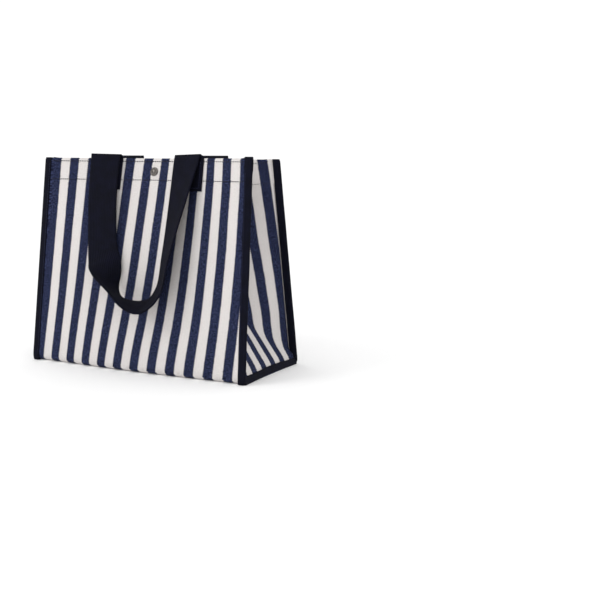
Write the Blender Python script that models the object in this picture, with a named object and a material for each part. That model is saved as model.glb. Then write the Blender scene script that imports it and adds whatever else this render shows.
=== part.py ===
"""Striped canvas tote bag: front, bottom and back of one cloth, two inward-folding gussets, bound seams,
a snap at the mouth and two webbing handles sewn to the outside.

Metres, +Z up. The origin is the middle of the underside, +X is the bag's width and the front faces -Y.
The bag is stored standing, mouth half closed, with both handles hanging down outside.
"""

import math

import bmesh
import bpy
from mathutils import Vector

# ---- Driving dimensions ----
HEIGHT = 0.305  # to the top edge of the front and back
BOTTOM_WIDTH = 0.370  # across the bound seams, at the floor
TOP_WIDTH = 0.355  # the same at the mouth
DEPTH = 0.164  # front to back at the floor
EDGE_RADIUS = 0.010  # the cloth turns up round the bottom's front and back edges

FRONT, BACK = -1, 1
LEFT, RIGHT = -1, 1
SIDE_NAMES = {FRONT: "front", BACK: "back"}
HAND_NAMES = {LEFT: "left", RIGHT: "right"}
SETBACK = {FRONT: 0.0315, BACK: 0.0497}  # how far the mouth's corners stand in from the bottom edge
PINCH = {FRONT: 0.030, BACK: 0.003}  # how much further in the middle of the mouth's edge stands
PINCH_POWER = 1.35

CANVAS = 0.0016
WEBBING = 0.0022
TAPE = 0.0006
FACING = 0.0012
GAP = 0.0003  # between pieces that touch
CURVED_GAP = 0.0005  # between pieces that touch along a curve

BINDING_WIDTH = 0.0115
BINDING_WEB = 0.0009  # tape across the seam's raw edge
BASE_BINDING_X = 0.1775  # outer face of the binding along the bottom
BASE_BINDING_TOP = 0.0118
LEG_BINDING_BOTTOM = 0.0122

HEM = 0.034
HEM_INSET = 0.021  # the hem's facing stops this far from the wall's side edge
WALL_COLUMNS = 22
BOARD_SIZE = (0.340, 0.138, 0.0025)
BOARD_CORNER = 0.006

GUSSET_HALF = 0.0785  # half the gusset's width
GUSSET_CLEARANCE = 0.0034  # gusset edge to the wall's outer face
GUSSET_INSET = 0.0125  # gusset edge to the wall's side edge
GUSSET_SLOT_TOP = 0.0125  # the gusset stands straight up to here, inside the bottom binding
GUSSET_TOP = 0.3040
FOLD_HALF_WIDTH = 0.003
FOLD_DIP = 0.0085  # the gusset's fold hangs this much lower than its edges

HANDLE_WIDTH = 0.047
PAD_X = {FRONT: (-0.0750, 0.0705), BACK: (-0.0845, 0.0665)}  # middles of the sewn ends
PAD_DROP = 0.0455  # the sewn ends reach this far below the mouth's edge
PAD_RISE = 0.0012
PIVOT_Z = HEIGHT + 0.0034  # the handles swing about the fold just above the mouth's edge

SNAP_X, SNAP_Z = 0.0020, HEIGHT - 0.0190
SNAP_HOLE = 0.0024
CAP_RADIUS = 0.0066
SNAP_SEGMENTS = 24

# Handle routes from the left fold round to the right one: x, z, stand-off from the wall, and the
# strap's turn in degrees away from facing straight out.
FRONT_ROUTE = [
    (-0.0766, PIVOT_Z, 0.0066, -8),
    (-0.0748, 0.251, 0.0070, -5),
    (-0.0708, 0.200, 0.0055, -6),
    (-0.0640, 0.169, 0.0092, -14),
    (-0.0532, 0.149, 0.0168, -43),
    (-0.0405, 0.127, 0.0275, -88),
    (-0.0220, 0.108, 0.0305, -110),
    (0.0032, 0.0954, 0.0268, -90),
    (0.0291, 0.0953, 0.0230, -66),
    (0.0480, 0.118, 0.0205, -51),
    (0.0543, 0.158, 0.0205, -46),
    (0.0583, 0.204, 0.0161, -38),
    (0.0626, 0.255, 0.0115, -26),
    (0.0668, PIVOT_Z, 0.0066, -10),
]
BACK_LEG = [
    (-0.0750, PIVOT_Z, 0.0066, 0),
    (-0.0755, 0.270, 0.0072, -4),
    (-0.0750, 0.210, 0.0105, -14),
    (-0.0700, 0.150, 0.0195, -38),
    (-0.0480, 0.109, 0.0272, -64),
]
BACK_MIDDLE = -0.0090  # the back handle sits this far to one side
BACK_LOW = [(0.0, 0.093, 0.0285, -80)]
BACK_MIRRORED = [(-x, z, off, turn) for x, z, off, turn in reversed(BACK_LEG)]
BACK_ROUTE = [(x + BACK_MIDDLE, *rest) for x, *rest in BACK_LEG + BACK_LOW + BACK_MIRRORED]
ROUTE_STEPS = 3  # cross-sections between two points of a route

# ---- Colours: linear RGB, roughness, metallic ----
FINISHES = {
    "striped_canvas": ((0.42, 0.40, 0.42), 0.90, 0.0),
    "navy_tape": ((0.010, 0.012, 0.028), 0.85, 0.0),
    "navy_webbing": ((0.012, 0.014, 0.030), 0.80, 0.0),
    "steel": ((0.55, 0.54, 0.52), 0.30, 1.0),
    "board": ((0.20, 0.18, 0.15), 0.90, 0.0),
}


def clear_scene():
    for item in list(bpy.data.objects):
        bpy.data.objects.remove(item, do_unlink=True)


def finish_material(name):
    """The named finish as a Principled material, made once."""
    if name in bpy.data.materials:
        return bpy.data.materials[name]
    colour, roughness, metallic = FINISHES[name]
    material = bpy.data.materials.new(name)
    material.use_nodes = True
    shader = material.node_tree.nodes["Principled BSDF"]
    shader.inputs["Base Color"].default_value = (*colour, 1.0)
    shader.inputs["Roughness"].default_value = roughness
    shader.inputs["Metallic"].default_value = metallic
    return material


def add_object(name, bm, finish, origin=Vector((0, 0, 0)), smooth=False):
    """A new object from bm, whose points are in the bag's frame, with its origin moved to origin."""
    bmesh.ops.translate(bm, verts=bm.verts, vec=-Vector(origin))
    mesh = bpy.data.meshes.new(name)
    bm.to_mesh(mesh)
    bm.free()
    if smooth:
        mesh.shade_smooth()
        mesh.set_sharp_from_angle(angle=math.radians(40))
    item = bpy.data.objects.new(name, mesh)
    item.location = origin
    bpy.context.scene.collection.objects.link(item)
    mesh.materials.append(finish_material(finish))
    return item


# ---- The bag's shape ----
def half_width(z):
    """Half the wall's width at height z, out to the bound edge."""
    return (BOTTOM_WIDTH + (TOP_WIDTH - BOTTOM_WIDTH) * z / HEIGHT) / 2


def wall_y(side, x, z):
    """Y of the outer face of the front or back wall."""
    rise = min(max((z - EDGE_RADIUS) / (HEIGHT - EDGE_RADIUS), 0.0), 1.05)
    across = min(abs(x) / half_width(z), 1.0)
    pinch = PINCH[side] * rise**PINCH_POWER * math.cos(math.pi / 2 * across) ** 2
    return side * (DEPTH / 2 - SETBACK[side] * rise - pinch)


def wall_normal(side, x, z, step=0.002):
    """The wall's outward normal."""
    along_x = Vector((2 * step, wall_y(side, x + step, z) - wall_y(side, x - step, z), 0))
    along_z = Vector((0, wall_y(side, x, z + step) - wall_y(side, x, z - step), 2 * step))
    return (along_x.cross(along_z) * -side).normalized()


def wall_point(side, x, z, off=0.0):
    """A point that stands off the wall's outer face, outwards if off is positive."""
    return Vector((x, wall_y(side, x, z), z)) + wall_normal(side, x, z) * off


def wall_columns(z):
    """X of the wall's columns of points: its two edges, its two hem ends and an even run between."""
    edge = half_width(z)
    inner = edge - HEM_INSET
    middle = [inner * (2 * i / WALL_COLUMNS - 1) for i in range(WALL_COLUMNS + 1)]
    outer = [edge - BINDING_WIDTH, edge - BINDING_WEB - CURVED_GAP]
    return [-x for x in reversed(outer)] + middle + outer


# ---- Solids ----
def add_sheet(name, rows, thickness, outside, finish, centred=False):
    """Cloth through a grid of points, thickened inwards from its outer face, or to both sides."""
    bm = bmesh.new()
    grid = [[bm.verts.new(point) for point in row] for row in rows]
    for low, high in zip(grid, grid[1:]):
        for i in range(len(low) - 1):
            bm.faces.new((low[i], low[i + 1], high[i + 1], high[i]))
    bm.normal_update()
    bm.faces.ensure_lookup_table()
    if bm.faces[len(bm.faces) // 2].normal.dot(Vector(outside)) < 0:
        bmesh.ops.reverse_faces(bm, faces=bm.faces)
    item = add_object(name, bm, finish, smooth=True)
    solidify = item.modifiers.new("Thickness", "SOLIDIFY")
    solidify.thickness = thickness
    solidify.offset = 0.0 if centred else -1.0
    solidify.use_even_offset = True
    return item


def add_sweep(name, loops, finish):
    """A closed solid through a row of equal loops, capped at both ends."""
    bm = bmesh.new()
    rings = [[bm.verts.new(point) for point in loop] for loop in loops]
    count = len(rings[0])
    for low, high in zip(rings, rings[1:]):
        for i in range(count):
            j = (i + 1) % count
            bm.faces.new((low[i], low[j], high[j], high[i]))
    bm.faces.new(rings[0])
    bm.faces.new(rings[-1])
    bmesh.ops.recalc_face_normals(bm, faces=bm.faces)
    return add_object(name, bm, finish)


def add_turned(name, profile, centre, axis, finish):
    """A solid turned about axis from (radius, height) points. A profile that starts and ends on the axis
    is a plug, and any other is a closed ring."""
    across = axis.orthogonal().normalized()
    other = axis.cross(across)
    bm = bmesh.new()
    rings = []
    for radius, height in profile:
        middle = centre + axis * height
        if radius == 0:
            rings.append([bm.verts.new(middle)] * SNAP_SEGMENTS)
            continue
        angles = [2 * math.pi * i / SNAP_SEGMENTS for i in range(SNAP_SEGMENTS)]
        spokes = [across * math.cos(a) + other * math.sin(a) for a in angles]
        rings.append([bm.verts.new(middle + spoke * radius) for spoke in spokes])
    pairs = list(zip(rings, rings[1:]))
    if profile[0][0] > 0:
        pairs.append((rings[-1], rings[0]))
    for low, high in pairs:
        for i in range(SNAP_SEGMENTS):
            j = (i + 1) % SNAP_SEGMENTS
            corners = [low[i], low[j], high[j], high[i]]
            face = [v for n, v in enumerate(corners) if v not in corners[:n]]
            bm.faces.new(face)
    bmesh.ops.recalc_face_normals(bm, faces=bm.faces)
    return add_object(name, bm, finish, origin=centre, smooth=True)


def cut_snap_hole(item, side):
    """A round hole for the snap's stem, through item."""
    centre = wall_point(side, SNAP_X, SNAP_Z)
    axis = wall_normal(side, SNAP_X, SNAP_Z)
    reach = 0.010
    profile = [(0, -reach), (SNAP_HOLE, -reach), (SNAP_HOLE, reach), (0, reach)]
    cutter = add_turned(item.name + "_hole", profile, centre, axis, "steel")
    cutter.hide_render = True
    cutter.display_type = "WIRE"
    boolean = item.modifiers.new("Snap hole", "BOOLEAN")
    boolean.operation = "DIFFERENCE"
    boolean.object = cutter
    boolean.solver = "EXACT"


# ---- Bottom ----
def add_bottom_panel():
    """The floor of the bag, with its front and back edges turned up."""
    profile = []
    for side in (FRONT, BACK):
        turn = []
        for i in range(7):
            angle = math.pi / 2 * i / 6
            y = side * (DEPTH / 2 - EDGE_RADIUS + EDGE_RADIUS * math.sin(angle))
            turn.append((y, EDGE_RADIUS - EDGE_RADIUS * math.cos(angle)))
        profile += list(reversed(turn)) if side == FRONT else turn
    inner_face = BASE_BINDING_X - CANVAS - 2 * (GAP + TAPE)
    edge = inner_face - GAP
    rows = [[Vector((x, y, z)) for y, z in profile] for x in (-edge, edge)]
    add_sheet("bottom_panel", rows, CANVAS, (0, 0, -1), "striped_canvas")


def add_base_board():
    """The stiff board that lies on the floor of the bag."""
    bm = bmesh.new()
    bmesh.ops.create_cube(bm, size=1.0)
    bmesh.ops.scale(bm, vec=BOARD_SIZE, verts=bm.verts)
    upright = [e for e in bm.edges if abs(e.verts[0].co.z - e.verts[1].co.z) > BOARD_SIZE[2] / 2]
    bmesh.ops.bevel(bm, geom=upright, offset=BOARD_CORNER, segments=4, affect="EDGES")
    height = CANVAS + CURVED_GAP + BOARD_SIZE[2] / 2
    bmesh.ops.translate(bm, verts=bm.verts, vec=(0, 0, height))
    add_object("base_board", bm, "board")


# ---- Walls ----
def add_wall(side):
    """The front or back of the bag, and the hem that is turned down inside it."""
    name = SIDE_NAMES[side]
    heights = [EDGE_RADIUS + 2 * GAP, 0.05, 0.10, 0.15, 0.20, 0.24, HEIGHT - HEM, SNAP_Z, HEIGHT]
    rows = [[Vector((x, wall_y(side, x, z), z)) for x in wall_columns(z)] for z in heights]
    panel = add_sheet(name + "_panel", rows, CANVAS, (0, side, 0), "striped_canvas")
    cut_snap_hole(panel, side)
    inside = -(CANVAS + CURVED_GAP)
    hem_heights = [HEIGHT - HEM, SNAP_Z, HEIGHT - GAP]
    hem_rows = [[wall_point(side, x, z, inside) for x in wall_columns(z)[2:-2]] for z in hem_heights]
    hem = add_sheet(name + "_hem", hem_rows, FACING, (0, side, 0), "striped_canvas")
    cut_snap_hole(hem, side)


def binding_profile(place):
    """Eight corners of the tape folded over a seam. place(u, v) turns the distance in from the raw edge
    and the distance from the middle of the cloth into a point."""
    slot = CANVAS / 2 + GAP
    skin = slot + TAPE
    tip = BINDING_WIDTH
    corners = [
        (0, skin),
        (tip, skin),
        (tip, slot),
        (BINDING_WEB, slot),
        (BINDING_WEB, -slot),
        (tip, -slot),
        (tip, -skin),
        (0, -skin),
    ]
    return [place(u, v) for u, v in corners]


def add_leg_binding(side, hand):
    """Tape over one upright edge of the front or back."""

    def place_at(z):
        def place(u, v):
            x = hand * (half_width(z) - u)
            return Vector((x, wall_y(side, x, z) - side * (CANVAS / 2 + v), z))

        return place

    heights = [LEG_BINDING_BOTTOM, 0.05, 0.10, 0.15, 0.20, 0.24, HEIGHT - HEM, SNAP_Z, HEIGHT + PAD_RISE]
    loops = [binding_profile(place_at(z)) for z in heights]
    add_sweep(f"{HAND_NAMES[hand]}_{SIDE_NAMES[side]}_binding", loops, "navy_tape")


def add_base_binding(hand):
    """Tape along the bottom of one gusset."""
    middle = BASE_BINDING_X - TAPE - GAP - CANVAS / 2
    reach = DEPTH / 2 - CANVAS - 2 * GAP

    def place_at(y):
        return lambda u, v: Vector((hand * (middle + v), y, u * BASE_BINDING_TOP / BINDING_WIDTH))

    loops = [binding_profile(place_at(y)) for y in (-reach, 0.0, reach)]
    add_sweep(f"{HAND_NAMES[hand]}_base_binding", loops, "navy_tape")


# ---- Gussets ----
def gusset_edge(side, z):
    """Where the gusset meets the front or back wall at height z, on the right-hand side."""
    low_x = BASE_BINDING_X - TAPE - GAP
    blend = min(max((z - GUSSET_SLOT_TOP) / GUSSET_SLOT_TOP, 0.0), 1.0)
    x = low_x + (half_width(z) - GUSSET_INSET - low_x) * blend
    return Vector((x, wall_y(side, x, z) - side * GUSSET_CLEARANCE, z))


def fold_x(z):
    """X of the gusset's fold: each half keeps its width as the walls draw together."""
    front, back = gusset_edge(FRONT, z), gusset_edge(BACK, z)
    half_mouth = (back.y - front.y) / 2
    return front.x - math.sqrt(max(GUSSET_HALF**2 - half_mouth**2, 0.0))


def gusset_row(t, steps=5):
    """Points across the right gusset at height t on the cloth: front edge, crease, crease, back edge."""
    front, back = gusset_edge(FRONT, t), gusset_edge(BACK, t)
    middle_y = (front.y + back.y) / 2
    rise = t - GUSSET_SLOT_TOP
    apex = GUSSET_SLOT_TOP + GUSSET_HALF
    bottom_x = BASE_BINDING_X - TAPE - GAP
    if rise <= 0:
        x, z = bottom_x, t
    elif t < apex:
        share = rise / GUSSET_HALF
        x = bottom_x + (fold_x(apex) - bottom_x) * share
        z = GUSSET_SLOT_TOP + (GUSSET_HALF - FOLD_DIP) * share
    else:
        x, z = fold_x(t), t - FOLD_DIP
    reach = max((back.y - front.y) / 2 * (1 - max(rise, 0) / GUSSET_HALF), FOLD_HALF_WIDTH)
    creases = [Vector((x, middle_y - reach, z)), Vector((x, middle_y + reach, z))]
    if rise <= 0:
        creases = [front.lerp(back, 0.1), front.lerp(back, 0.9)]
    corners = [front, *creases, back]
    points = [front]
    for start, end in zip(corners, corners[1:]):
        points += [start.lerp(end, i / steps) for i in range(1, steps + 1)]
    return points


def add_gusset(hand):
    """One side of the bag, folded inwards, with the hem turned down inside it."""
    name = HAND_NAMES[hand]

    def mirrored(row):
        return [Vector((hand * p.x, p.y, p.z)) for p in row]

    heights = [0.0014, GUSSET_SLOT_TOP, 0.03, 0.05, 0.07, 0.091, 0.13, 0.18, 0.23, HEIGHT - HEM, GUSSET_TOP]
    rows = [mirrored(gusset_row(t)) for t in heights]
    add_sheet(name + "_gusset", rows, CANVAS, (hand, 0, 0), "striped_canvas")
    inward = Vector((-hand * 0.0042, 0, 0))
    hem_rows = [[p + inward for p in mirrored(gusset_row(t))[1:-1]] for t in (HEIGHT - HEM, GUSSET_TOP)]
    add_sheet(name + "_gusset_hem", hem_rows, FACING, (hand, 0, 0), "striped_canvas")


# ---- Handles ----
def add_sewn_end(side, hand):
    """The part of a handle that is sewn flat to the wall."""
    middle = PAD_X[side][0 if hand == LEFT else 1]
    off = CURVED_GAP + WEBBING
    heights = [HEIGHT - PAD_DROP, HEIGHT - HEM, SNAP_Z, HEIGHT + PAD_RISE]
    offsets = [HANDLE_WIDTH * (i / 4 - 0.5) for i in range(5)]
    rows = [[wall_point(side, middle + dx, z, off) for dx in offsets] for z in heights]
    name = f"{SIDE_NAMES[side]}_handle_{HAND_NAMES[hand]}_end"
    add_sheet(name, rows, WEBBING, (0, side, 0), "navy_webbing")


def smooth_route(points, steps):
    """Catmull-Rom curve through rows of numbers."""
    first = [2 * a - b for a, b in zip(points[0], points[1])]
    last = [2 * a - b for a, b in zip(points[-1], points[-2])]
    run = [first, *points, last]
    curve = []
    for a, b, c, d in zip(run, run[1:], run[2:], run[3:]):
        for k in range(steps):
            t = k / steps
            curve.append([catmull_rom(*values, t) for values in zip(a, b, c, d)])
    curve.append(list(points[-1]))
    return curve


def catmull_rom(a, b, c, d, t):
    bend = (2 * a - 5 * b + 4 * c - d) * t**2 + (-a + 3 * b - 3 * c + d) * t**3
    return 0.5 * (2 * b + (c - a) * t + bend)


def strap_rows(side, route):
    """Cross-sections of the strap along its route. Each turns by its angle from facing straight out."""
    stations = smooth_route(route, ROUTE_STEPS)
    centres = [wall_point(side, x, z, off) for x, z, off, _ in stations]
    last = len(stations) - 1
    rows = []
    for i, (x, z, _, turn) in enumerate(stations):
        if i in (0, last):  # the ends stand up along the wall
            tangent = (wall_point(side, x, z) - wall_point(side, x, z - 0.01)) * (-1 if i == 0 else 1)
        else:
            tangent = centres[i + 1] - centres[i - 1]
        tangent.normalize()
        outward = Vector((0, side, 0))
        outward = (outward - tangent * outward.dot(tangent)).normalized()
        inner = outward.cross(tangent) * -side
        angle = math.radians(turn)
        across = inner * math.cos(angle) + outward * math.sin(angle)
        rows.append([centres[i] + across * HANDLE_WIDTH * (j / 3 - 0.5) for j in range(4)])
    return rows


def add_handle(side):
    """The free loop of a handle, hanging outside the wall from its folds."""
    route = FRONT_ROUTE if side == FRONT else BACK_ROUTE
    rows = strap_rows(side, route)
    add_sheet(f"{SIDE_NAMES[side]}_handle", rows, WEBBING, (0, side, 0), "navy_webbing", centred=True)


# ---- Snap ----
def add_snap():
    """Domed cap and socket on the front, plain cap and stud on the back."""
    face = CURVED_GAP  # heights are measured out from the wall's outer face
    inner = -(CANVAS + CURVED_GAP + FACING + CURVED_GAP)
    stem = SNAP_HOLE - 0.0004
    stem_end = inner - 0.0010
    dome = [
        (CAP_RADIUS * math.cos(a), face + 0.0008 + 0.0024 * math.sin(a)) for a in (0, 0.4, 0.8, 1.2)
    ]
    cap = [(0, stem_end), (stem, stem_end), (stem, face), (CAP_RADIUS, face), *dome, (0, face + 0.0032)]
    plain = [(0, stem_end), (stem, stem_end), (stem, face), (0.0060, face)]
    plain += [(0.0055, face + 0.0010), (0, face + 0.0014)]
    socket = [(SNAP_HOLE, inner), (0.0060, inner), (0.0056, inner - 0.0030)]
    socket += [(0.0035, inner - 0.0034), (SNAP_HOLE, inner - 0.0022)]
    stud = [(SNAP_HOLE, inner), (0.0060, inner), (0.0058, inner - 0.0010)]
    stud += [(0.0031, inner - 0.0012), (0.0033, inner - 0.0030), (SNAP_HOLE, inner - 0.0034)]
    shapes = {
        FRONT: (("snap_cap", cap), ("snap_socket", socket)),
        BACK: (("snap_back_cap", plain), ("snap_stud", stud)),
    }
    for side, pieces in shapes.items():
        centre, axis = wall_point(side, SNAP_X, SNAP_Z), wall_normal(side, SNAP_X, SNAP_Z)
        for name, profile in pieces:
            add_turned(name, profile, centre, axis, "steel")


def build():
    clear_scene()
    add_bottom_panel()
    add_base_board()
    for hand in (LEFT, RIGHT):
        add_gusset(hand)
        add_base_binding(hand)
    for side in (FRONT, BACK):
        add_wall(side)
        add_handle(side)
        for hand in (LEFT, RIGHT):
            add_leg_binding(side, hand)
            add_sewn_end(side, hand)
    add_snap()


build()
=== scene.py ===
"""Looks for the striped canvas tote: cloth, tape, webbing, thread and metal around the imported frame."""

import math

import bpy
import numpy as np
from mathutils import Matrix, Vector, noise


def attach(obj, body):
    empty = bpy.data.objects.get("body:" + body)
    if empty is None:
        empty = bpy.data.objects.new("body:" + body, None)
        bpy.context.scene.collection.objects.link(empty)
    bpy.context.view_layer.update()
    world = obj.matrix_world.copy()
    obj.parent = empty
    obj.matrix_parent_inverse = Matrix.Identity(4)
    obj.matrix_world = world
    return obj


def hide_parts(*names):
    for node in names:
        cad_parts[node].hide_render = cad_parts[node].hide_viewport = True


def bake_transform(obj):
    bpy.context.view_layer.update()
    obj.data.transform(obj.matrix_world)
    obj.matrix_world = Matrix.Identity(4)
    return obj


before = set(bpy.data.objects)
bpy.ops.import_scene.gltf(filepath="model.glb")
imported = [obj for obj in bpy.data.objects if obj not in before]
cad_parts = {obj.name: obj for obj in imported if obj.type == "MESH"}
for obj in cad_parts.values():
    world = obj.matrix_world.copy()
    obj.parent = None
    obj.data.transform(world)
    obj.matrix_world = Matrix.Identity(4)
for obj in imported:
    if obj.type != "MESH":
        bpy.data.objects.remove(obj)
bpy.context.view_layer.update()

# ---- The bag's shape, as the frame has it ----
HEIGHT = 0.305
BOTTOM_WIDTH = 0.370
TOP_WIDTH = 0.355
DEPTH = 0.164
EDGE_RADIUS = 0.010
FRONT, BACK = -1, 1
LEFT, RIGHT = -1, 1
SIDE_NAMES = {FRONT: "front", BACK: "back"}
HAND_NAMES = {LEFT: "left", RIGHT: "right"}
SETBACK = {FRONT: 0.0315, BACK: 0.0497}
PINCH = {FRONT: 0.030, BACK: 0.003}
PINCH_POWER = 1.35
BELLY = {FRONT: 0.0058, BACK: 0.0015}  # how far the wall's foot bulges out in its middle
BELLY_HEIGHT = 0.070
MIDDLE_DRIFT = 0.0036  # how far the stripes stray to the left in the middle of the wall's foot
EDGE_DRIFT = 0.0022  # and to the right along the left edge

CLOTH = 0.0010
FLOOR_INSET = 0.0030  # the cloth stops this short of the bag's side, inside the tape, at the floor
WALL_INSET = 0.0016  # and up the wall
HEM = 0.034
STITCH_ROWS = (0.0042, 0.0310)  # below the top edge
DIMPLE = 0.00028  # how deep a row of stitches pulls into the cloth
DIMPLE_WIDTH = 0.0016
HEM_OFFSET = 0.0017  # from the middle of the outer cloth to the middle of the hem
HEM_FOLD = HEM_OFFSET / 2
BINDING_WIDTH = 0.0115
BINDING_HALF = 0.0018
BASE_BINDING_WIDTH = 0.0098
BASE_BINDING_HALF = 0.0016
BINDING_SKIN = 0.0006
TAPE_UV_STEP = 0.0016  # cloth from one corner of the tape's profile to the next
TUCK_DROP = 0.019  # the right front tape is tucked under from here up, below the top edge
FOOT_CORNER = (0.0045, 0.008)  # how wide and how high the foot of an upright tape is rounded
BASE_TAPE_X = 0.1834  # the bottom tape's middle, at the floor
BASE_TAPE_REACH = 0.0800  # and how far it runs each way
BASE_TAPE_LEAN = 0.0036
BASE_TAPE_ARCH = 0.0022  # lifted this far in its middle
BASE_TAPE_SAG = 0.0012  # and drawn in this far
GUSSET_HALF = 0.0805
GUSSET_CLOTH = 0.082  # half the gusset's width as its stripes count it
GUSSET_START = 0.0134  # where the stripes begin at the gusset's middle
GUSSET_LEAN = 0.0455  # how far the gusset's stripes stray from its seams, per metre down
GUSSET_BEND = 0.0080  # and how far they bend back at the foot
GUSSET_BEND_HEIGHT = 0.055
GUSSET_INSET = 0.0128  # gusset edge to the wall's side edge
GUSSET_GAP = 0.0033  # gusset edge to the wall's outer face
GUSSET_FOOT = 0.0110  # the gusset stands straight up to here
GUSSET_FOOT_X = 0.1795
FOLD_DIP = 0.0085  # the gusset's fold hangs this much lower than its edges
PAD_X = {FRONT: (-0.0750, 0.0705), BACK: (-0.0845, 0.0665)}
PAD_DROP = 0.0455
PAD_TOP = HEIGHT + 0.0012
PIVOT_Z = HEIGHT + 0.0034
STRAP_WIDTH = 0.047
STRAP_ACROSS = np.linspace(-0.5, 0.5, 17) * STRAP_WIDTH
STRAP = 0.0020
FOLD_RISE = {
    (FRONT, LEFT): 0.0080,
    (FRONT, RIGHT): 0.0035,
    (BACK, LEFT): 0.0035,
    (BACK, RIGHT): 0.0035,
}
SNAP_X, SNAP_Z = 0.0020, HEIGHT - 0.0190

STRIPE_PERIOD = 0.030
STRIPE_START = 0.0206  # from the left edge to the first pale stripe, at the floor
STRIPE_LEAN = (0.034, -0.0375)  # how that grows with height: per metre, and per square metre

# Handle routes from the left fold round to the right one: x, z, stand-off from the wall, and the
# strap's turn in degrees away from facing straight out.
FRONT_ROUTE = [
    (-0.0766, PIVOT_Z, 0.0066, -8),
    (-0.0748, 0.251, 0.0070, -5),
    (-0.0708, 0.200, 0.0055, -6),
    (-0.0640, 0.169, 0.0092, -14),
    (-0.0532, 0.149, 0.0168, -43),
    (-0.0405, 0.127, 0.0275, -88),
    (-0.0220, 0.108, 0.0305, -110),
    (0.0032, 0.0954, 0.0268, -90),
    (0.0291, 0.0953, 0.0230, -66),
    (0.0480, 0.118, 0.0205, -51),
    (0.0543, 0.158, 0.0205, -46),
    (0.0583, 0.204, 0.0161, -38),
    (0.0626, 0.255, 0.0115, -26),
    (0.0668, PIVOT_Z, 0.0066, -10),
]
BACK_LEG = [
    (-0.0750, PIVOT_Z, 0.0066, 0),
    (-0.0755, 0.270, 0.0072, -4),
    (-0.0750, 0.210, 0.0105, -14),
    (-0.0700, 0.150, 0.0195, -38),
    (-0.0480, 0.109, 0.0272, -64),
]
BACK_MIDDLE = -0.0090  # the back handle sits this far to one side
BACK_LOW = [(0.0, 0.093, 0.0285, -80)]
BACK_MIRRORED = [(-x, z, off, turn) for x, z, off, turn in reversed(BACK_LEG)]
BACK_ROUTE = [(x + BACK_MIDDLE, *rest) for x, *rest in BACK_LEG + BACK_LOW + BACK_MIRRORED]
ROUTES = {FRONT: FRONT_ROUTE, BACK: BACK_ROUTE}


def half_width(z):
    """Half the wall's width at height z, out to the bound edge."""
    return (BOTTOM_WIDTH + (TOP_WIDTH - BOTTOM_WIDTH) * z / HEIGHT) / 2


def wall_y(side, x, z):
    """Y of the outer face of the front or back wall."""
    x, z = np.asarray(x, float), np.asarray(z, float)
    rise = np.clip((z - EDGE_RADIUS) / (HEIGHT - EDGE_RADIUS), 0.0, 1.05)
    across = np.clip(np.abs(x) / half_width(z), 0.0, 1.0)
    pinch = PINCH[side] * rise**PINCH_POWER * np.cos(np.pi / 2 * across) ** 2
    return side * (DEPTH / 2 - SETBACK[side] * rise - pinch)


def wall_normal(side, x, z, step=0.002):
    """The wall's outward normals."""
    x, z = np.broadcast_arrays(np.asarray(x, float), np.asarray(z, float))
    slope_x = (wall_y(side, x + step, z) - wall_y(side, x - step, z)) / (2 * step)
    slope_z = (wall_y(side, x, z + step) - wall_y(side, x, z - step)) / (2 * step)
    normal = np.stack([-slope_x * side, np.full_like(slope_x, side), -slope_z * side], axis=-1)
    return normal / np.linalg.norm(normal, axis=-1, keepdims=True)


def wall_point(side, x, z, off=0.0):
    """Points that stand off the wall's outer face, outwards if off is positive."""
    x, z = np.broadcast_arrays(np.asarray(x, float), np.asarray(z, float))
    face = np.stack([x, wall_y(side, x, z), z], axis=-1)
    return face + wall_normal(side, x, z) * np.asarray(off, float)[..., None]


def smooth_noise(points, size, seed):
    """Noise from -1 to 1 at each point, with bumps about size metres across."""
    flat = np.asarray(points).reshape(-1, 3)
    shift = Vector((seed * 7.3, seed * 3.1, seed * 5.7))
    values = [noise.noise(Vector(p) / size + shift) for p in flat]
    return np.array(values).reshape(np.asarray(points).shape[:-1])


# ---- Meshes ----
def make_mesh(name, points, faces, uvs=None):
    """A smooth-shaded object with a UV map in metres of cloth."""
    mesh = bpy.data.meshes.new(name)
    mesh.from_pydata([tuple(p) for p in points], [], [tuple(f) for f in faces])
    if uvs is not None:
        layer = mesh.uv_layers.new(name="cloth")
        corner = np.empty(len(mesh.loops), np.int32)
        mesh.loops.foreach_get("vertex_index", corner)
        layer.data.foreach_set("uv", np.asarray(uvs, np.float32)[corner].ravel())
    mesh.shade_smooth()
    mesh.update()
    item = bpy.data.objects.new(name, mesh)
    bpy.context.scene.collection.objects.link(item)
    return item


def grid_normals(points):
    """Unit normals of a grid of points."""
    along = np.gradient(points, axis=0)
    across = np.gradient(points, axis=1)
    normal = np.cross(across, along)
    return normal / np.maximum(np.linalg.norm(normal, axis=-1, keepdims=True), 1e-12)


def cloth_shell(name, points, uvs, thickness):
    """A closed sheet of the given thickness through a grid of points in its middle."""
    rows, columns = points.shape[:2]
    offset = grid_normals(points) * thickness / 2
    skins = np.concatenate([(points + offset).reshape(-1, 3), (points - offset).reshape(-1, 3)])
    count = rows * columns
    index = np.arange(count).reshape(rows, columns)
    top = np.stack([index[:-1, :-1], index[:-1, 1:], index[1:, 1:], index[1:, :-1]], axis=-1).reshape(-1, 4)
    faces = [top, top[:, ::-1] + count]
    rim = np.concatenate([index[0, :-1], index[:-1, -1], index[-1, :0:-1], index[:0:-1, 0]])
    after = np.roll(rim, -1)
    faces.append(np.stack([after, rim, rim + count, after + count], axis=-1))
    both = np.concatenate([uvs.reshape(-1, 2)] * 2)
    return make_mesh(name, skins, np.concatenate(faces), both)


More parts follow.
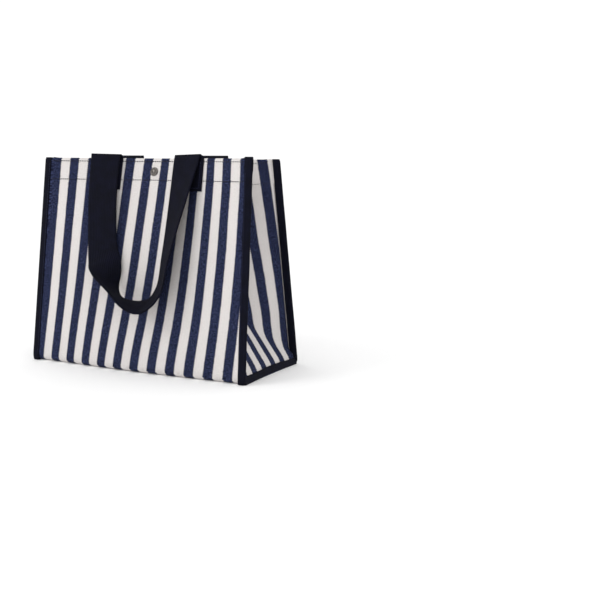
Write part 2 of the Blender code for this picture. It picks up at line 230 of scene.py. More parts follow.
def tube_shell(name, loops, uvs):
    """A closed solid through rows of equal loops, capped at both ends."""
    rows, columns = loops.shape[:2]
    index = np.arange(rows * columns).reshape(rows, columns)
    beside = np.roll(index, -1, axis=1)
    sides = np.stack([index[:-1], beside[:-1], beside[1:], index[1:]], axis=-1).reshape(-1, 4)
    faces = [tuple(f) for f in sides] + [tuple(index[0][::-1]), tuple(index[-1])]
    return make_mesh(name, loops.reshape(-1, 3), faces, uvs.reshape(-1, 2))


def stitches(name, path, normals, length=0.0030, gap=0.0008, radius=0.00032):
    """A row of thread stitches along a path, lying on the cloth."""
    steps = np.linalg.norm(np.diff(path, axis=0), axis=1)
    run = np.concatenate([[0], np.cumsum(steps)])
    points, faces = [], []
    for start in np.arange(gap, run[-1] - length, length + gap):
        marks = (start, start + length)
        ends = [np.array([np.interp(s, run, path[:, k]) for k in range(3)]) for s in marks]
        up = np.array([np.interp(start, run, normals[:, k]) for k in range(3)])
        ahead = ends[1] - ends[0]
        ahead /= np.linalg.norm(ahead)
        side = np.cross(ahead, up)
        side /= np.linalg.norm(side)
        first = len(points)
        points.append(ends[0] - up * radius * 0.6)
        for share, lift in ((0.16, 0.55), (0.5, 0.9), (0.84, 0.55)):
            middle = ends[0] + (ends[1] - ends[0]) * share + up * radius * lift
            for k in range(6):
                angle = math.pi * k / 3
                spoke = side * math.cos(angle) + up * 0.8 * math.sin(angle)
                points.append(middle + spoke * radius * 1.25)
        points.append(ends[1] - up * radius * 0.6)
        for k in range(6):
            j = (k + 1) % 6
            faces.append((first, first + 1 + j, first + 1 + k))
            for ring in (0, 6):
                a, b = first + 1 + ring + k, first + 1 + ring + j
                faces.append((a, b, b + 6, a + 6))
            faces.append((first + 19, first + 13 + k, first + 13 + j))
    return make_mesh(name, points, faces)


# ---- Node materials ----
class Shader:
    """A Principled material and short calls for its nodes."""

    def __init__(self, name, roughness, metallic=0.0, specular=0.5):
        self.material = bpy.data.materials.new(name)
        self.material.use_nodes = True
        self.tree = self.material.node_tree
        self.out = self.tree.nodes["Principled BSDF"]
        self.out.inputs["Roughness"].default_value = roughness
        self.out.inputs["Metallic"].default_value = metallic
        self.out.inputs["Specular IOR Level"].default_value = specular

    def node(self, kind, settings=(), **inputs):
        node = self.tree.nodes.new(kind)
        for key, value in dict(settings).items():
            setattr(node, key, value)
        for key, value in inputs.items():
            socket = node.inputs[int(key[1:])] if key[0] == "i" and key[1:].isdigit() else node.inputs[key]
            self.put(socket, value)
        return node

    def put(self, socket, value):
        if isinstance(value, bpy.types.NodeSocket):
            self.tree.links.new(value, socket)
        else:
            socket.default_value = value

    def math(self, operation, a, b=0.0, c=0.0):
        return self.node("ShaderNodeMath", {"operation": operation}, i0=a, i1=b, i2=c).outputs[0]

    def vector(self, x, y, z=0.0):
        return self.node("ShaderNodeCombineXYZ", i0=x, i1=y, i2=z).outputs[0]

    def cloth_uv(self):
        uv = self.node("ShaderNodeUVMap", {"uv_map": "cloth"}).outputs[0]
        split = self.node("ShaderNodeSeparateXYZ", i0=uv)
        return split.outputs[0], split.outputs[1]

    def noise(self, vector, scale, detail=2.0, roughness=0.5):
        made = self.node("ShaderNodeTexNoise", Scale=scale, Detail=detail, Roughness=roughness)
        self.put(made.inputs["Vector"], vector)
        return made.outputs["Fac"]

    def ramp(self, value, low, high, to_low=0.0, to_high=1.0):
        settings = {"interpolation_type": "SMOOTHSTEP"}
        made = self.node("ShaderNodeMapRange", settings, i0=value, i1=low, i2=high)
        made.inputs[3].default_value = to_low
        made.inputs[4].default_value = to_high
        return made.outputs[0]

    def mix(self, share, a, b):
        made = self.node("ShaderNodeMix", {"data_type": "RGBA"})
        self.put(made.inputs[0], share)
        self.put(made.inputs[6], a)
        self.put(made.inputs[7], b)
        return made.outputs[2]

    def finish(self, colour, height=None, distance=0.0004, strength=0.5, roughness=None):
        self.put(self.out.inputs["Base Color"], colour)
        if height is not None:
            bump = self.node("ShaderNodeBump", Height=height, Distance=distance, Strength=strength)
            self.put(self.out.inputs["Normal"], bump.outputs[0])
        if roughness is not None:
            self.put(self.out.inputs["Roughness"], roughness)
        return self.material


def srgb(r, g, b):
    """Linear colour from 8-bit sRGB."""
    values = [c / 255 for c in (r, g, b)]
    return (*[v / 12.92 if v <= 0.04045 else ((v + 0.055) / 1.055) ** 2.4 for v in values], 1.0)


# ---- Materials ----
WEFT_STEP = 0.0029  # the stripes' edges wander from side to side over this length
YARN_PITCH = 0.0012
STRIPE_BLUR = 0.00025  # half the width over which a stripe's edge changes colour


def canvas_material():
    """Plain-woven canvas: pale and navy stripes along V with ragged edges, the navy yarn flecked."""
    s = Shader("striped_canvas", roughness=0.9, specular=0.10)
    u, v = s.cloth_uv()
    weft = s.math("SINE", s.math("MULTIPLY", v, 2 * math.pi / WEFT_STEP))
    ragged = s.noise(s.vector(s.math("MULTIPLY", u, 120.0), s.math("MULTIPLY", v, 520.0)), 1.0, 3.0)
    stagger = s.math("MULTIPLY", weft, 0.00065)
    shift = s.math("ADD", stagger, s.math("MULTIPLY", s.math("SUBTRACT", ragged, 0.5), 0.0030))
    centred = s.math("SUBTRACT", s.math("ADD", u, shift), STRIPE_PERIOD / 4)
    distance = s.math("PINGPONG", centred, STRIPE_PERIOD / 2)
    edge = STRIPE_PERIOD / 4
    pale = s.ramp(distance, edge - STRIPE_BLUR, edge + STRIPE_BLUR, 1.0, 0.0)
    flecks = s.noise(s.vector(u, v), 580.0, 4.0, 0.65)
    blotches = s.noise(s.vector(u, s.math("MULTIPLY", v, 0.6)), 70.0, 3.0)
    slubs = s.noise(s.vector(s.math("MULTIPLY", u, 1500.0), s.math("MULTIPLY", v, 260.0)), 1.0, 2.0)
    yarn = s.math("ADD", s.math("MULTIPLY", flecks, 0.75), s.math("MULTIPLY", slubs, 0.25))
    fleck = s.ramp(yarn, 0.44, 0.60)
    navy = s.mix(fleck, srgb(12, 15, 32), srgb(62, 70, 106))
    navy = s.mix(s.ramp(blotches, 0.3, 0.7, 0.0, 0.35), navy, srgb(24, 28, 52))
    cream = s.mix(s.ramp(flecks, 0.35, 0.65), srgb(204, 199, 196), srgb(222, 218, 216))
    cream = s.mix(s.ramp(blotches, 0.35, 0.75, 0.0, 0.30), cream, srgb(207, 203, 200))
    colour = s.mix(pale, navy, cream)
    warp = s.math("SINE", s.math("MULTIPLY", u, 2 * math.pi / YARN_PITCH))
    fill = s.math("SINE", s.math("MULTIPLY", v, 2 * math.pi / YARN_PITCH))
    basket = s.math("MULTIPLY", warp, fill)
    height = s.math("ADD", s.math("MULTIPLY", basket, 0.3), flecks)
    return s.finish(colour, height, distance=0.0005, strength=0.55)


def tape_material(name, dark, light, rib):
    """Tape or webbing with ribs across it and worn flecks."""
    s = Shader(name, roughness=0.85, specular=0.12)
    u, v = s.cloth_uv()
    ribs = s.math("SINE", s.math("MULTIPLY", v, 2 * math.pi / rib))
    picks = s.math("SINE", s.math("MULTIPLY", u, 2 * math.pi / (rib * 1.7)))
    flecks = s.noise(s.vector(u, v), 900.0, 3.0)
    blotches = s.noise(s.vector(u, v), 60.0, 2.0)
    fine = s.math("MULTIPLY", s.ramp(flecks, 0.4, 0.7), 0.6)
    share = s.math("ADD", fine, s.math("MULTIPLY", s.ramp(blotches, 0.35, 0.7), 0.4))
    colour = s.mix(share, dark, light)
    yarn = s.math("ADD", s.math("MULTIPLY", picks, 0.3), flecks)
    height = s.math("ADD", s.math("MULTIPLY", ribs, 0.5), yarn)
    return s.finish(colour, height, distance=0.0004, strength=0.6)


def thread_material(name, colour):
    s = Shader(name, roughness=0.6, specular=0.2)
    position = s.node("ShaderNodeTexCoord").outputs["Object"]
    strands = s.noise(position, 3000.0)
    light = (*[min(c * 1.6, 1.0) for c in colour[:3]], 1.0)
    return s.finish(s.mix(strands, colour, light), strands, 0.0001)


def metal_material():
    s = Shader("snap_metal", roughness=0.28, metallic=1.0)
    position = s.node("ShaderNodeTexCoord").outputs["Object"]
    haze = s.noise(position, 900.0, 3.0)
    colour = s.mix(s.ramp(haze, 0.35, 0.7), srgb(74, 70, 67), srgb(128, 124, 120))
    return s.finish(colour, haze, 0.00005, 0.2, roughness=s.ramp(haze, 0.3, 0.7, 0.2, 0.38))


def board_material():
    s = Shader("board", roughness=0.95)
    position = s.node("ShaderNodeTexCoord").outputs["Object"]
    fibres = s.noise(position, 400.0, 5.0, 0.6)
    return s.finish(s.mix(fibres, srgb(96, 88, 78), srgb(132, 122, 110)), fibres, 0.0002, 0.4)


CANVAS = canvas_material()
TAPE = tape_material("navy_tape", srgb(5, 6, 17), srgb(12, 14, 33), rib=0.0011)
WEBBING = tape_material("navy_webbing", srgb(5, 6, 17), srgb(12, 13, 32), rib=0.0016)
THREAD = thread_material("dark_thread", srgb(28, 27, 36))
NAVY_THREAD = thread_material("navy_thread", srgb(24, 28, 52))
METAL = metal_material()
BOARD = board_material()


def dress(item, material):
    """Give a piece its material."""
    item.data.materials.clear()
    item.data.materials.append(material)
    return item


# ---- Walls ----
def stripe_start(t):
    """Distance from the left edge to the first pale stripe.

    t is the cloth's distance up from the floor's front edge, negative under the bottom and on the back.
    """
    grow, bend = STRIPE_LEAN
    return STRIPE_START + grow * t + np.where(t > 0, bend * t * t, 0.0)


def stripe_drift(shares, z):
    """How the stripes stray from straight: left in the middle of the foot, right along the left edge."""
    middle = np.cos(np.pi / 2 * np.clip((shares - 0.2) / 1.2, -1, 1)) ** 2 * np.exp(-((z / 0.09) ** 2))
    left = np.exp(-(((shares + 1) / 0.35) ** 2)) * np.clip((z - 0.02) / 0.06, 0, 1)
    return MIDDLE_DRIFT * middle - EDGE_DRIFT * left


def belly(side, x, z):
    """How far the wall's foot bulges out."""
    across = np.cos(np.pi / 2 * np.clip(np.abs(x) / half_width(z), 0, 1)) ** 2
    return BELLY[side] * across * np.exp(-((np.maximum(z, 0.008) / BELLY_HEIGHT) ** 2))


def make_wall(side):
    """The cloth from the middle of the bottom round its edge, up the wall and down inside as a hem."""
    shares = np.linspace(-1, 1, 133)
    profile = [(y, CLOTH / 2) for y in np.linspace(0.0, DEPTH / 2 - EDGE_RADIUS, 12)[:-1]]
    radius = EDGE_RADIUS - CLOTH / 2
    for angle in np.linspace(0, math.pi / 2, 9)[:-1]:
        y = DEPTH / 2 - EDGE_RADIUS + radius * math.sin(angle)
        profile.append((y, EDGE_RADIUS - radius * math.cos(angle)))
    rows, tees = [], []
    for y, z in profile:
        x = shares * (half_width(z) - FLOOR_INSET)
        bulge = belly(side, x, z) * (y / (DEPTH / 2)) ** 2
        rows.append(np.stack([x, side * (y + bulge), np.full_like(x, z)], axis=-1))
        under = DEPTH / 2 - y
        tees.append(-under if side == FRONT else under - DEPTH)
    crest = HEIGHT - HEM_FOLD
    outer = [(z, CLOTH / 2) for z in np.linspace(EDGE_RADIUS, crest, 88)]
    turn = []
    for angle in np.linspace(0, math.pi, 8)[1:-1]:
        turn.append((crest + HEM_FOLD * math.sin(angle), CLOTH / 2 + HEM_FOLD * (1 - math.cos(angle))))
    facing = [(z, CLOTH / 2 + HEM_OFFSET) for z in np.linspace(crest, HEIGHT - HEM, 12)]
    for n, (z, inward) in enumerate(outer + turn + facing):
        over = n - len(outer) - len(turn)  # rows past the fold, from 0
        x = shares * (half_width(z) - (BINDING_WIDTH if over > 1 else WALL_INSET))
        depth = HEIGHT - z
        dip = sum(math.exp(-(((depth - row) / DIMPLE_WIDTH) ** 2)) for row in STITCH_ROWS) * DIMPLE
        y = wall_y(side, x, z) + side * (belly(side, x, z) - inward - (dip if n < len(outer) else 0.0))
        rows.append(np.stack([x, y, np.full_like(x, z)], axis=-1))
        climb = z if over <= 0 else HEIGHT + (HEIGHT - z)
        tees.append(climb if side == FRONT else -DEPTH - climb)
    points = np.stack(rows)
    ripple = smooth_noise(points, 0.060, side + 3) * 0.0007
    ripple += smooth_noise(points, 0.022, side + 9) * 0.00022
    calm = np.clip(points[..., 2] / 0.03, 0, 1) * np.clip((1 - np.abs(shares)) / 0.08, 0, 1)
    points[..., 1] += side * ripple * calm
    steps = np.linalg.norm(np.diff(points, axis=1), axis=-1)
    run = np.concatenate([np.zeros((len(rows), 1)), np.cumsum(steps, axis=1)], axis=1)
    tees = np.array(tees)[:, None]
    edge = half_width(np.clip(points[..., 2], 0, HEIGHT))[:, :1] + points[:, :1, 0]
    u = run + edge - stripe_start(tees) + STRIPE_PERIOD + stripe_drift(shares, points[..., 2])
    if side == FRONT:
        u = np.maximum(u, STRIPE_PERIOD / 2 + 0.0012)  # no pale sliver beside the left tape, but navy
    uvs = np.stack([u, np.broadcast_to(tees + 1.0, u.shape)], axis=-1)
    name = SIDE_NAMES[side]
    if side == BACK:
        points, uvs = points[:, ::-1], uvs[:, ::-1]
    wall = dress(cloth_shell(name + "_cloth", points, uvs, CLOTH), CANVAS)
    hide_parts(name + "_panel", name + "_hem")
    if side == FRONT:
        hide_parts("bottom_panel")
    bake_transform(wall)
    return wall


def make_hem_stitches(side):
    """Rows of dark thread along the hem, on the outside."""
    name = SIDE_NAMES[side]
    x = np.linspace(-1, 1, 240) * (half_width(HEIGHT) - BINDING_WIDTH - 0.001)
    for number, drop in enumerate(STITCH_ROWS):
        z = HEIGHT - drop
        path, normals = wall_point(side, x, z, 0.0), wall_normal(side, x, z)
        row = stitches(f"{name}_hem_stitches_{number}", path, normals, radius=0.00045)
        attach(dress(row, THREAD), name + "_wall")


# ---- Gussets ----
def gusset_sections():
    """Rows of points across the right gusset, front edge to back edge, softened at its creases."""
    count = 84
    shares = np.linspace(-1, 1, count + 1)
    cloth = np.linspace(0.0030, HEIGHT, 104)
    rows = []
    for t in cloth:
        lift = max(t - GUSSET_FOOT, 0.0)
        ease = min(lift / 0.014, 1.0)
        ease = ease * ease * (3 - 2 * ease)
        edge_x = GUSSET_FOOT_X + (half_width(t) - GUSSET_INSET - GUSSET_FOOT_X) * ease
        front = np.array([edge_x, float(wall_y(FRONT, edge_x, t)) + GUSSET_GAP, t])
        back = np.array([edge_x, float(wall_y(BACK, edge_x, t)) - GUSSET_GAP, t])
        middle_y = (front[1] + back[1]) / 2
        half_mouth = (back[1] - front[1]) / 2
        apex = GUSSET_FOOT + GUSSET_HALF
        if t < apex:
            share = lift / GUSSET_HALF
            x = GUSSET_FOOT_X + (fold_x(apex) - GUSSET_FOOT_X) * share
            z = min(t, GUSSET_FOOT) + (GUSSET_HALF - FOLD_DIP) * share
        else:
            x, z = fold_x(t), t - FOLD_DIP
        flat = max(1 - lift / GUSSET_HALF, 0.0)
        reach = half_mouth * flat
        row = []
        for q in shares:
            edge = front if q < 0 else back
            crease = np.array([x, middle_y + math.copysign(reach, q), z])
            a = abs(q)
            if a <= flat:
                row.append(np.array([x, middle_y + q * half_mouth, z]))
            else:
                row.append(crease + (edge - crease) * (a - flat) / max(1 - flat, 1e-6))
        rows.append(row)
    return soften(np.array(rows)), shares, cloth


def fold_x(t):
    """X of the gusset's fold: each half keeps its width as the walls draw together."""
    edge_x = half_width(t) - GUSSET_INSET
    mouth = float(wall_y(BACK, edge_x, t) - wall_y(FRONT, edge_x, t)) / 2 - GUSSET_GAP
    return edge_x - math.sqrt(max(GUSSET_HALF**2 - mouth**2, 0.0))


def soften(points, passes=9):
    """Round the creases: average with the neighbours, and keep the sewn edges where they are."""
    for _ in range(passes):
        points[:, 1:-1] = points[:, 1:-1] * 0.5 + (points[:, :-2] + points[:, 2:]) * 0.25
        core = points[1:-1] * 0.6 + (points[:-2] + points[2:]) * 0.2
        points[1:-1, 1:-1] = core[:, 1:-1]
    return points


def blend_gusset(piece):
    """Bakes the piece's placement into its mesh."""
    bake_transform(piece)


def make_gusset(hand):
    """Each half, front and back, is its own piece."""
    points, shares, cloth = gusset_sections()
    ripple = smooth_noise(points, 0.045, hand + 21) * 0.0010
    points[..., 0] += ripple * np.clip((1 - np.abs(shares)) / 0.25, 0, 1)
    normals = grid_normals(points)
    top = len(cloth) - 1
    hem_rows = []
    inward = -normals if normals[top, 5, 0] >= 0 else normals
    reach = 0.0009
    for angle in np.linspace(0, math.pi, 6)[1:-1]:
        lift = np.array([0, 0, reach * math.sin(angle)])
        hem_rows.append(points[top] + inward[top] * reach * (1 - math.cos(angle)) + lift)
    drop_rows = [r for r in range(top, 0, -1) if cloth[r] > HEIGHT - HEM]
    for r in drop_rows:
        hem_rows.append(points[r] + inward[r] * 0.0018)
    full = np.concatenate([points, np.stack(hem_rows)])
    over = [HEIGHT + 0.0004 * k for k in range(4)]
    tees = list(cloth) + over + [2 * HEIGHT - cloth[r] for r in drop_rows]
    v = np.broadcast_to(np.array(tees)[:, None], full.shape[:2])
    height = np.minimum(v, 2 * HEIGHT - v)
    lean = GUSSET_LEAN * (HEIGHT - height) - GUSSET_BEND * np.exp(-((height / GUSSET_BEND_HEIGHT) ** 2))
    u = shares[None, :] * GUSSET_CLOTH + GUSSET_START + STRIPE_PERIOD * 4 - lean
    uvs = np.stack([u, v], axis=-1)
    full = full * np.array([hand, 1, 1])
    middle = len(shares) // 2
    for side, columns in ((FRONT, slice(0, middle + 1)), (BACK, slice(middle, None))):
        part, part_uv = full[:, columns], uvs[:, columns]
        if hand == LEFT:
            part, part_uv = part[:, ::-1], part_uv[:, ::-1]
        name = f"{HAND_NAMES[hand]}_gusset_{SIDE_NAMES[side]}_cloth"
        piece = dress(cloth_shell(name, part, part_uv, CLOTH), CANVAS)
        blend_gusset(piece)
    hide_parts(HAND_NAMES[hand] + "_gusset", HAND_NAMES[hand] + "_gusset_hem")
    make_gusset_stitches(hand, points, cloth)


def make_gusset_stitches(hand, points, cloth):
    """The hem's rows of thread across each half of the gusset."""
    middle = points.shape[1] // 2
    normals = grid_normals(points)
    if normals[-1, 5, 0] < 0:
        normals = -normals
    mirror = np.array([hand, 1, 1])
    for number, drop in enumerate(STITCH_ROWS):
        row = int(np.argmin(np.abs(cloth - (HEIGHT - drop))))
        for side, columns in ((FRONT, slice(1, middle)), (BACK, slice(middle + 1, -1))):
            path = (points[row, columns] + normals[row, columns] * CLOTH * 0.45) * mirror
            name = f"{HAND_NAMES[hand]}_gusset_{SIDE_NAMES[side]}_stitches_{number}"
            thread = stitches(name, path, normals[row, columns] * mirror)
            blend_gusset(dress(thread, THREAD))


# ---- Bindings ----
def tape_profile(width, half, skin):
    """Corners of tape folded over an edge: distance in from the edge, and distance from the middle."""
    outer = [(width, half), (width - 0.0008, half + 0.0001), (0.0045, half + 0.00025), (0.0014, half)]
    nose = [(0.0002, half * 0.55), (-0.0002, 0.0), (0.0002, -half * 0.55)]
    mirrored = [(u, -v) for u, v in reversed(outer)]
    inside = [(width, -half + skin), (0.0016, -half + skin), (0.0016, half - skin), (width, half - skin)]
    return outer + nose + mirrored + inside


def make_leg_binding(side, hand):
    """Tape over one upright edge; on the right front one, its end is tucked under at the top."""
    rows = np.linspace(0.0006, HEIGHT + 0.0010, 90)
    profile = tape_profile(BINDING_WIDTH, BINDING_HALF, BINDING_SKIN)
    tucked = side == FRONT and hand == RIGHT
    loops, uvs = [], []
    for z in rows:
        tuck = 1 / (1 + math.exp(-(z - HEIGHT + TUCK_DROP) / 0.0012)) if tucked else 0.0
        wave = noise.noise(Vector((z / 0.045, hand * 3.0, side * 5.0))) * 0.0006
        end = min((rows[-1] - z) / 0.003, 1.0)
        corner = FOOT_CORNER[0] * (1 - math.sqrt(1 - max(0.0, 1 - z / FOOT_CORNER[1]) ** 2))
        loop, loop_uv = [], []
        for n, (u, v) in enumerate(profile):
            reach = u if u > 0.006 else u - 0.0018 * tuck + 0.0012 * (1 - end)
            x = hand * (half_width(min(z, HEIGHT)) - max(reach, corner) - wave * 0.5)
            swell = 1 + 0.35 * tuck
            y = float(wall_y(side, x, max(z, 0.0))) - side * 0.0009 + side * v * swell
            rise = z + tuck * 0.0016 * (z - HEIGHT + TUCK_DROP) / TUCK_DROP
            loop.append((x, y + side * wave * 0.4, rise))
            loop_uv.append((n * TAPE_UV_STEP, z))
        loops.append(loop)
        uvs.append(loop_uv)
    loops = np.array(loops)
    if hand * side > 0:
        loops = loops[:, ::-1]
    name = f"{HAND_NAMES[hand]}_{SIDE_NAMES[side]}_tape"
    tape = dress(tube_shell(name, loops, np.array(uvs)), TAPE)
    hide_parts(f"{HAND_NAMES[hand]}_{SIDE_NAMES[side]}_binding")
    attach(tape, SIDE_NAMES[side] + "_wall")
    z = np.linspace(0.014, HEIGHT - 0.004, 200)
    x = hand * (half_width(z) - BINDING_WIDTH + 0.0017)
    path = wall_point(side, x, z, 0.0010)
    thread = dress(stitches(name + "_stitches", path, wall_normal(side, x, z)), NAVY_THREAD)
    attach(thread, SIDE_NAMES[side] + "_wall")


def make_base_binding(hand):
    """Tape along the bottom of one gusset, a little lifted in its middle."""
    profile = tape_profile(BASE_BINDING_WIDTH, BASE_BINDING_HALF, BINDING_SKIN)
    loops, uvs = [], []
    for y in np.linspace(-BASE_TAPE_REACH, BASE_TAPE_REACH, 60):
        arch = math.cos(math.pi / 2 * y / BASE_TAPE_REACH) ** 2
        loop, loop_uv = [], []
        for n, (u, v) in enumerate(profile):
            lean = BASE_TAPE_LEAN * u / BASE_BINDING_WIDTH
            x = hand * (BASE_TAPE_X - lean - BASE_TAPE_SAG * arch + v)
            loop.append((x, y, max(u + BASE_TAPE_ARCH * arch, 0.0002)))
            loop_uv.append((n * TAPE_UV_STEP, y))
        loops.append(loop)
        uvs.append(loop_uv)
    loops = np.array(loops)
    if hand == LEFT:
        loops = loops[:, ::-1]
    name = HAND_NAMES[hand] + "_base_tape"
    tape = dress(tube_shell(name, loops, np.array(uvs)), TAPE)
    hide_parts(HAND_NAMES[hand] + "_base_binding")
    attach(tape, "base")


# ---- Handles ----
def catmull_rom(points, steps):
    """A smooth curve through rows of numbers."""
    points = np.asarray(points, float)
    run = np.concatenate([[2 * points[0] - points[1]], points, [2 * points[-1] - points[-2]]])
    curve = []
    for a, b, c, d in zip(run, run[1:], run[2:], run[3:]):
        for t in np.arange(steps) / steps:
            bend = (2 * a - 5 * b + 4 * c - d) * t**2 + (-a + 3 * b - 3 * c + d) * t**3
            curve.append(0.5 * (2 * b + (c - a) * t + bend))
    curve.append(points[-1])
    return np.array(curve)


def strap_frames(side):
    """Centres of the strap's cross-sections and the directions across it."""
    stations = catmull_rom(ROUTES[side], 9)
    centres = wall_point(side, stations[:, 0], stations[:, 1], stations[:, 2])
    tangents = np.gradient(centres, axis=0)
    for i, sign in ((0, -1), (-1, 1)):  # the ends stand up along the wall
        x, z = stations[i, :2]
        tangents[i] = (wall_point(side, x, z) - wall_point(side, x, z - 0.01)) * sign
    tangents /= np.linalg.norm(tangents, axis=1, keepdims=True)
    crosses = []
    for tangent, turn in zip(tangents, np.radians(stations[:, 3])):
        outward = np.array([0.0, side, 0.0])
        outward -= tangent * outward.dot(tangent)
        outward /= np.linalg.norm(outward)
        inner = np.cross(outward, tangent) * -side
        crosses.append(inner * math.cos(turn) + outward * math.sin(turn))
    return centres, np.array(crosses)


def make_strap(side):
    """The free loop of a handle, and the folds that join it to its sewn ends."""
    name = SIDE_NAMES[side]
    centres, crosses = strap_frames(side)
    points = centres[:, None] + crosses[:, None] * STRAP_ACROSS[None, :, None]
    run = np.concatenate([[0], np.cumsum(np.linalg.norm(np.diff(centres, axis=0), axis=1))])
    strap = dress(cloth_shell(name + "_strap", points, webbing_uvs(run), STRAP), WEBBING)
    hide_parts(name + "_handle")
    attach(strap, name + "_handle")
    for hand, row in ((LEFT, points[0]), (RIGHT, points[-1])):
        make_pad(side, hand)
        make_fold(side, hand, row if row[-1, 0] > row[0, 0] else row[::-1])


def webbing_uvs(run):
    """Cloth places for rows of webbing, from each row's distance along it."""
    return np.stack(np.broadcast_arrays(STRAP_ACROSS[None, :] + 0.1, run[:, None]), axis=-1)


def pad_middle(side, hand):
    """X of the middle of a sewn end."""
    return PAD_X[side][0 if hand == LEFT else 1]


def pad_row(side, hand, z, across, off=0.0017):
    """Points across a sewn end at height z, in the middle of its webbing."""
    return wall_point(side, pad_middle(side, hand) + across, z, off)


def make_pad(side, hand):
    """A sewn end: webbing flat on the wall, its lower edge lying a little closer to it, with a box of
    stitches.
    """
    name = f"{SIDE_NAMES[side]}_{HAND_NAMES[hand]}_sewn_end"
    heights = np.linspace(HEIGHT - PAD_DROP, PAD_TOP, 18)
    edge = np.clip((heights - heights[0]) / 0.004, 0, 1)
    offs = 0.0013 + 0.0004 * edge
    points = np.stack([pad_row(side, hand, z, STRAP_ACROSS, off) for z, off in zip(heights, offs)])
    uvs = webbing_uvs(heights)
    if side == BACK:
        points, uvs = points[:, ::-1], uvs[:, ::-1]
    pad = dress(cloth_shell(name, points, uvs, STRAP), WEBBING)
    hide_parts(f"{SIDE_NAMES[side]}_handle_{HAND_NAMES[hand]}_end")
    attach(pad, SIDE_NAMES[side] + "_wall")
    inset = STRAP_WIDTH / 2 - 0.004
    low, high = HEIGHT - PAD_DROP + 0.004, HEIGHT - 0.005
    corners = [(-inset, low), (inset, low), (inset, high), (-inset, high), (-inset, low), (inset, high)]
    path = []
    for (xa, za), (xb, zb) in zip(corners, corners[1:]):
        path += [(xa + (xb - xa) * k / 24, za + (zb - za) * k / 24) for k in range(24)]
    dx, z = np.array(path).T
    x = pad_middle(side, hand) + dx
    thread = stitches(name + "_stitches", wall_point(side, x, z, 0.0027), wall_normal(side, x, z))
    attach(dress(thread, NAVY_THREAD), SIDE_NAMES[side] + "_wall")


def make_fold(side, hand, strap_row):
    """The webbing's turn over the mouth's edge, from the sewn end out to the strap."""
    name = f"{SIDE_NAMES[side]}_{HAND_NAMES[hand]}_fold"
    foot = pad_row(side, hand, PAD_TOP, STRAP_ACROSS)
    rise = np.array([0, 0, FOLD_RISE[side, hand]])
    rows = []
    for t in np.linspace(0, 1, 14):
        hermite = (2 * t**3 - 3 * t**2 + 1, t**3 - 2 * t**2 + t, -2 * t**3 + 3 * t**2, t**3 - t**2)
        rows.append(hermite[0] * foot + hermite[1] * rise + hermite[2] * strap_row - hermite[3] * rise)
    points = np.stack(rows)
    uvs = webbing_uvs(np.linspace(0, 0.014, len(rows)))
    fold = dress(cloth_shell(name, points, uvs, STRAP), WEBBING)
    outward = wall_normal(side, pad_middle(side, hand), HEIGHT) * np.array([1, 1, 0])
    outward /= np.linalg.norm(outward)
    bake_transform(fold)


# ---- Snap ----
def make_snap_cap():
    """The domed cap, with a rolled rim."""
    profile = [(0.0, 0.0034), (0.0018, 0.0033), (0.0035, 0.0028), (0.0046, 0.0020), (0.0051, 0.0013)]
    profile += [(0.0055, 0.0014), (0.0060, 0.0016), (0.0065, 0.0013)]
    profile += [(0.0066, 0.0008), (0.0064, 0.0003), (0.0, 0.0003)]
    centre = wall_point(FRONT, SNAP_X, SNAP_Z)
    axis = Vector(wall_normal(FRONT, SNAP_X, SNAP_Z))
    across = axis.orthogonal().normalized()
    other = axis.cross(across)
    points, faces, segments = [], [], 48
    for radius, height in profile[1:-1]:
        for k in range(segments):
            angle = 2 * math.pi * k / segments
            spoke = across * math.cos(angle) + other * math.sin(angle)
            points.append(Vector(centre) + axis * height + spoke * radius)
    tip, foot = len(points), len(points) + 1
    points += [Vector(centre) + axis * profile[0][1], Vector(centre) + axis * profile[-1][1]]
    last = (len(profile) - 3) * segments
    for k in range(segments):
        j = (k + 1) % segments
        faces.append((tip, k, j))
        faces.append((foot, last + j, last + k))
        for ring in range(0, last, segments):
            faces.append((ring + k, ring + segments + k, ring + segments + j, ring + j))
    cap = dress(make_mesh("snap_dome", points, faces), METAL)
    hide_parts("snap_cap")
    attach(cap, "front_wall")


# ---- Camera, floor and light ----
CAMERA_PLACE = Vector((0.75848, -1.12320, 0.28700))
CAMERA_YAW, CAMERA_PITCH, CAMERA_ROLL = (math.radians(a) for a in (-25.342, -8.071, 0.677))
CAMERA_LENS = 53.784  # millimetres, on a sensor this wide:
SENSOR_WIDTH = 36.0


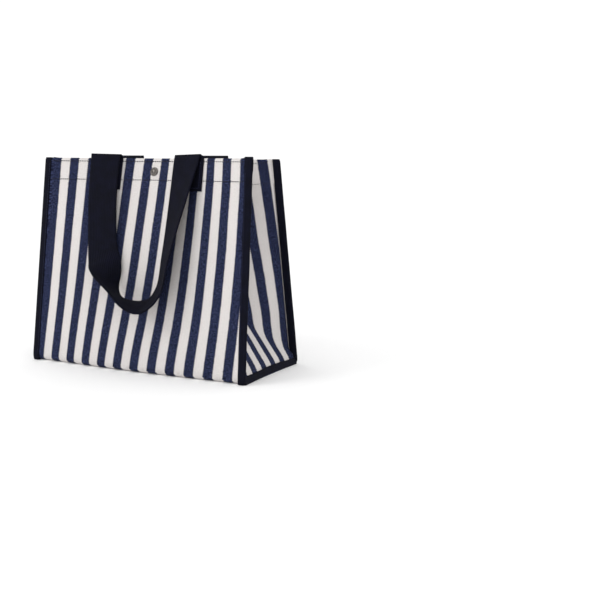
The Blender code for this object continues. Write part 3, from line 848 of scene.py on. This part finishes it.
def make_camera():
    ahead = Vector(
        (
            math.sin(CAMERA_YAW) * math.cos(CAMERA_PITCH),
            math.cos(CAMERA_YAW) * math.cos(CAMERA_PITCH),
            math.sin(CAMERA_PITCH),
        )
    )
    right = Vector((math.cos(CAMERA_YAW), -math.sin(CAMERA_YAW), 0))
    up = right.cross(ahead)
    turn = Matrix.Rotation(CAMERA_ROLL, 3, ahead)
    right, up = turn.inverted() @ right, turn.inverted() @ up
    camera = bpy.data.objects.new("camera", bpy.data.cameras.new("camera"))
    bpy.context.scene.collection.objects.link(camera)
    axes = Matrix((right, up, -ahead)).transposed()
    camera.matrix_world = Matrix.Translation(CAMERA_PLACE) @ axes.to_4x4()
    camera.data.lens = CAMERA_LENS
    camera.data.sensor_width = SENSOR_WIDTH
    bpy.context.scene.camera = camera


def make_light(name, place, aim, size, power):
    data = bpy.data.lights.new(name, "AREA")
    data.shape = "DISK"
    data.size = size
    data.energy = power
    light = bpy.data.objects.new(name, data)
    bpy.context.scene.collection.objects.link(light)
    light.location = place
    light.rotation_euler = (Vector(aim) - Vector(place)).to_track_quat("-Z", "Y").to_euler()


def make_stage():
    s = Shader("pale_floor", roughness=0.9)
    position = s.node("ShaderNodeTexCoord").outputs["Object"]
    grain = s.noise(position, 3.0)
    floor_material = s.finish(s.mix(grain, (0.985, 0.985, 0.985, 1), (0.995, 0.995, 0.995, 1)))
    mesh = bpy.data.meshes.new("floor")
    reach = 12.0
    corners = [(-reach, -reach, 0), (reach, -reach, 0), (reach, reach, 0), (-reach, reach, 0)]
    mesh.from_pydata(corners, [], [(0, 1, 2, 3)])
    floor = bpy.data.objects.new("floor", mesh)
    bpy.context.scene.collection.objects.link(floor)
    mesh.materials.append(floor_material)
    world = bpy.data.worlds.new("studio")
    world.use_nodes = True
    world.node_tree.nodes["Background"].inputs[0].default_value = (1.0, 1.0, 1.0, 1.0)
    world.node_tree.nodes["Background"].inputs[1].default_value = 1.06
    bpy.context.scene.world = world
    bpy.context.scene.view_settings.view_transform = "Standard"
    make_light("key", (-1.5, -2.0, 1.9), (0, 0, 0.12), 1.4, 18)
    make_light("fill", (1.4, -2.6, 1.0), (0, 0, 0.12), 2.0, 3)


def dress_frame():
    """Materials for the frame's own pieces that stay in view."""
    nodes = {"base_board": BOARD, "snap_socket": METAL, "snap_back_cap": METAL, "snap_stud": METAL}
    for name, material in nodes.items():
        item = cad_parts[name]
        for place in item.material_slots:
            place.material = material


make_camera()
make_stage()
dress_frame()
for side in (FRONT, BACK):
    make_wall(side)
    make_hem_stitches(side)
    make_strap(side)
    for hand in (LEFT, RIGHT):
        make_leg_binding(side, hand)
for hand in (LEFT, RIGHT):
    make_gusset(hand)
    make_base_binding(hand)
make_snap_cap()
